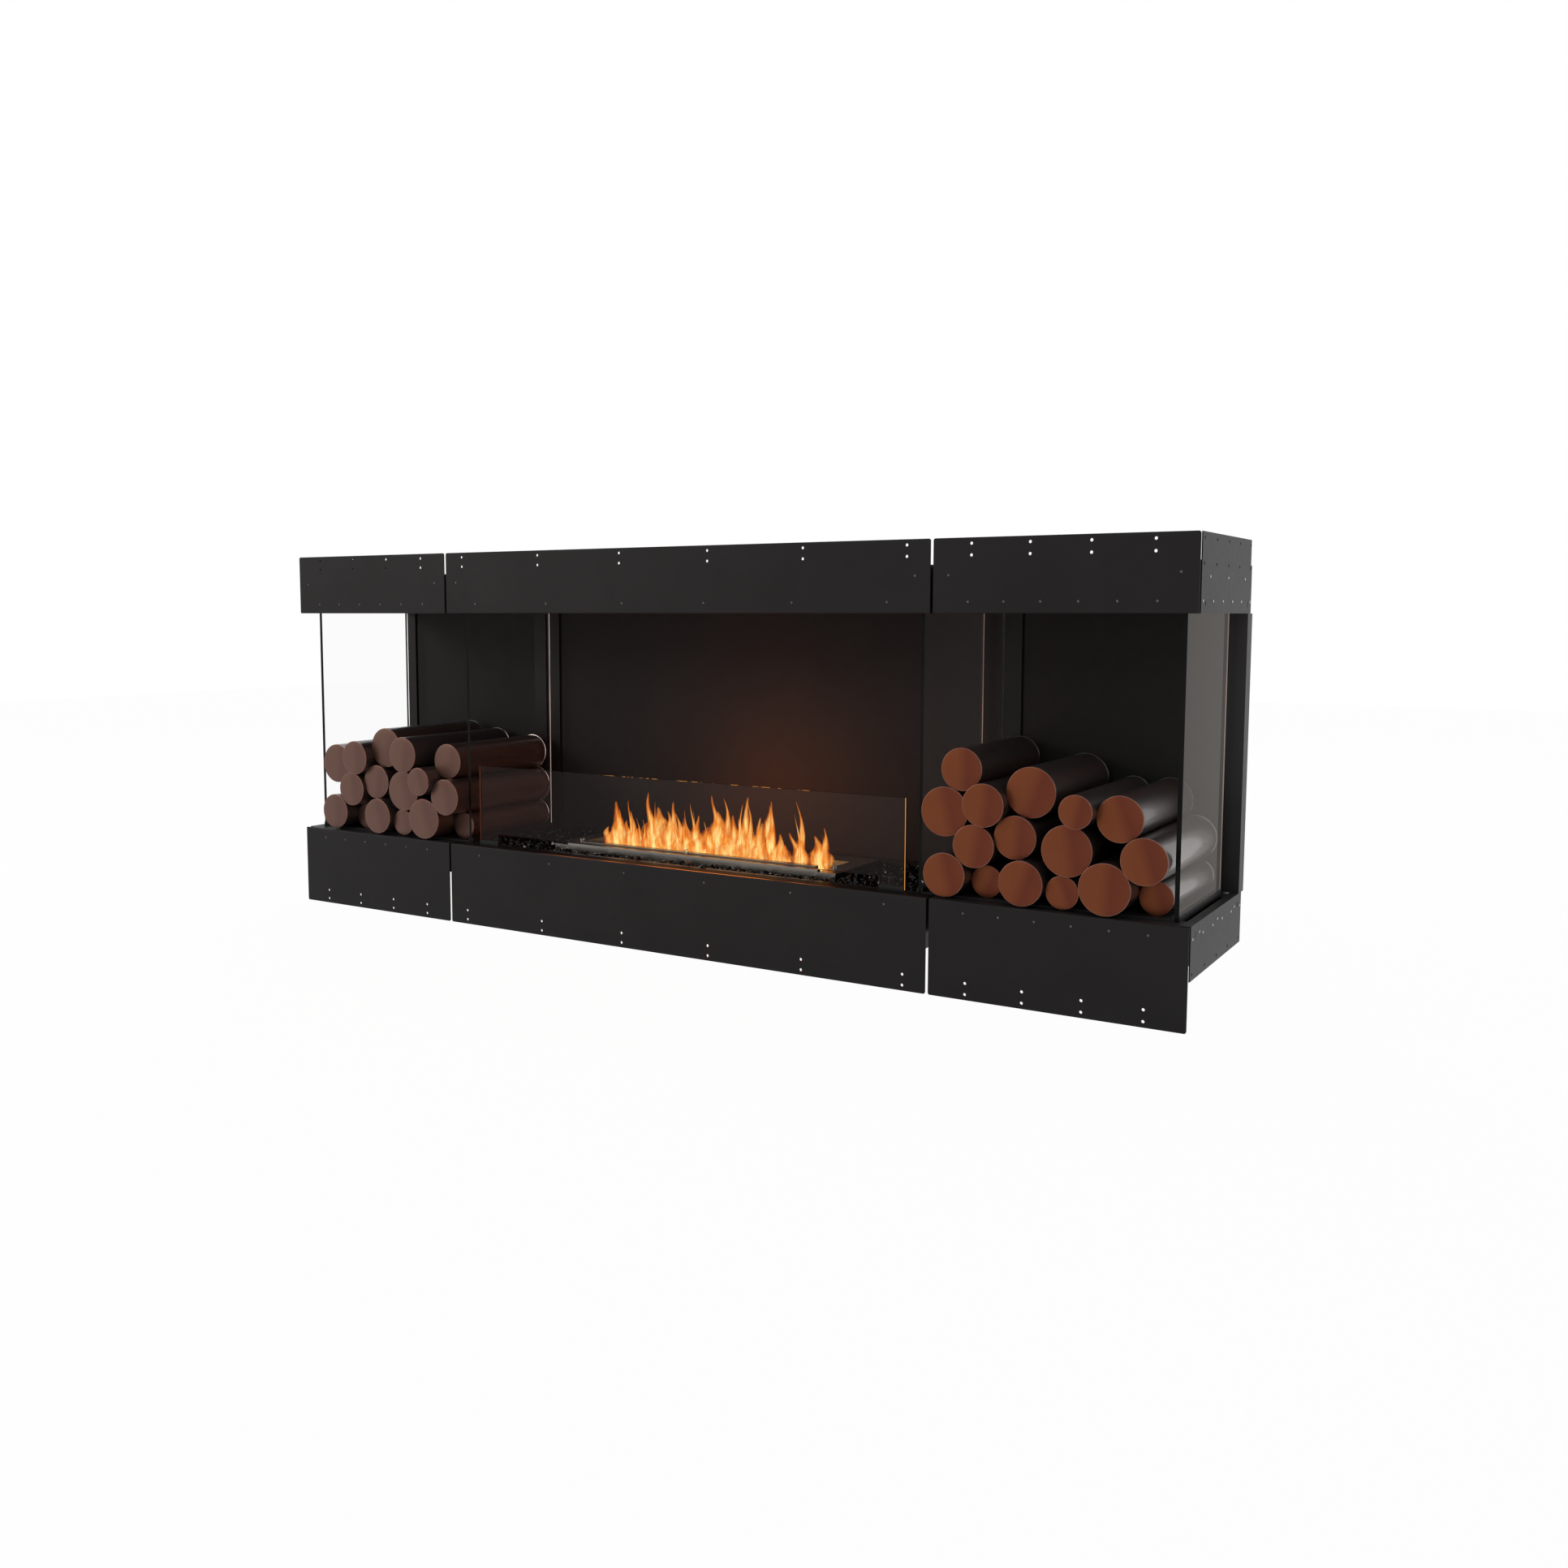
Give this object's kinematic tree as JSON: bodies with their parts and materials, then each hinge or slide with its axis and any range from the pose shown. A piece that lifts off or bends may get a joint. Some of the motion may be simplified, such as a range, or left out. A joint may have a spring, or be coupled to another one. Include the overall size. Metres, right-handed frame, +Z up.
{
  "type": "three-sided fireplace",
  "caption": "Built-in three-sided ethanol fireplace: glazed burner bay with a windscreen between two glazed log boxes, with perforated fixing flanges.",
  "frame": {"origin": "middle of the centre base tray's underside, in the middle of the overall width and depth", "axes": "+X to the right seen from the front, +Y towards the back wall, +Z up"},
  "size_m": [2.066, 0.3912, 0.81],
  "materials": {
    "fascia_paint": "fine matt charcoal powder coat",
    "black_paint": "matt black heat-resistant paint",
    "rail_black": "satin black",
    "clear_glass": "clear toughened glass with polished edges",
    "black_glass": "broken glossy black glass",
    "gloss_black": "high gloss black",
    "copper": "satin copper plated",
    "brushed_stainless": "lengthwise brushed",
    "bright_steel": "bright",
    "zinc_steel": "zinc plated",
    "white_fibre": "pressed ceramic fibre",
    "black_rubber": "matt"
  },
  "bodies": {
    "casing": {"back_panel_centre": "black_paint", "back_panel_left": "black_paint", "back_panel_right": "black_paint", "base_tray_centre": "black_paint", "base_tray_left": "black_paint", "base_tray_right": "black_paint", "bed_pan": "rail_black", "ceiling_centre": "black_paint", "ceiling_left": "black_paint", "ceiling_right": "black_paint", "divider_glass_left": "clear_glass", "divider_glass_rails": "rail_black", "divider_glass_right": "clear_glass", "fascia_rivets": "bright_steel", "glass_granulate": "black_glass", "header_fascia_centre": "fascia_paint", "header_fascia_left": "fascia_paint", "header_fascia_right": "fascia_paint", "header_side_left": "fascia_paint", "header_side_right": "fascia_paint", "hood_centre": "black_paint", "hood_left": "black_paint", "hood_right": "black_paint", "joining_bolts": "bright_steel", "joining_spacers": "zinc_steel", "log_caps_left": "copper", "log_caps_right": "copper", "log_floor_left": "fascia_paint", "log_floor_right": "fascia_paint", "log_tubes_left": "gloss_black", "log_tubes_right": "gloss_black", "lower_fascia_centre": "fascia_paint", "lower_fascia_left": "fascia_paint", "lower_fascia_right": "fascia_paint", "lower_side_left": "fascia_paint", "lower_side_right": "fascia_paint", "outer_glass_left": "clear_glass", "outer_glass_rails": "rail_black", "outer_glass_right": "clear_glass", "post_centre_left": "black_paint", "post_centre_right": "black_paint", "post_left_inner": "black_paint", "post_left_outer": "black_paint", "post_right_inner": "black_paint", "post_right_outer": "black_paint", "side_rivets": "bright_steel", "windscreen_shoes": "rail_black"},
    "burner": {"burner_casing": "brushed_stainless", "burner_feet": "black_rubber", "flame_well": "brushed_stainless", "fuel_tank": "brushed_stainless", "fibre_pad": "white_fibre", "burner_deck": "brushed_stainless", "burner_front_strip": "brushed_stainless", "deck_studs": "bright_steel", "apron_bolts": "bright_steel"},
    "lid": {"shutoff_lid": "brushed_stainless", "lid_bar": "brushed_stainless", "lid_eye": "brushed_stainless"},
    "windscreen": {"windscreen_glass": "clear_glass"}
  },
  "joints": [
    {"name": "burner_lift", "type": "slide", "parent": "casing", "child": "burner", "axis": [0, 0, 1], "range_m": [0, 0.15]},
    {"name": "lid_slide", "type": "slide", "parent": "burner", "child": "lid", "axis": [0, 1, 0], "range_m": [0, 0.032]},
    {"name": "windscreen_lift", "type": "slide", "parent": "casing", "child": "windscreen", "axis": [0, 0, 1], "range_m": [0, 0.12]}
  ]
}
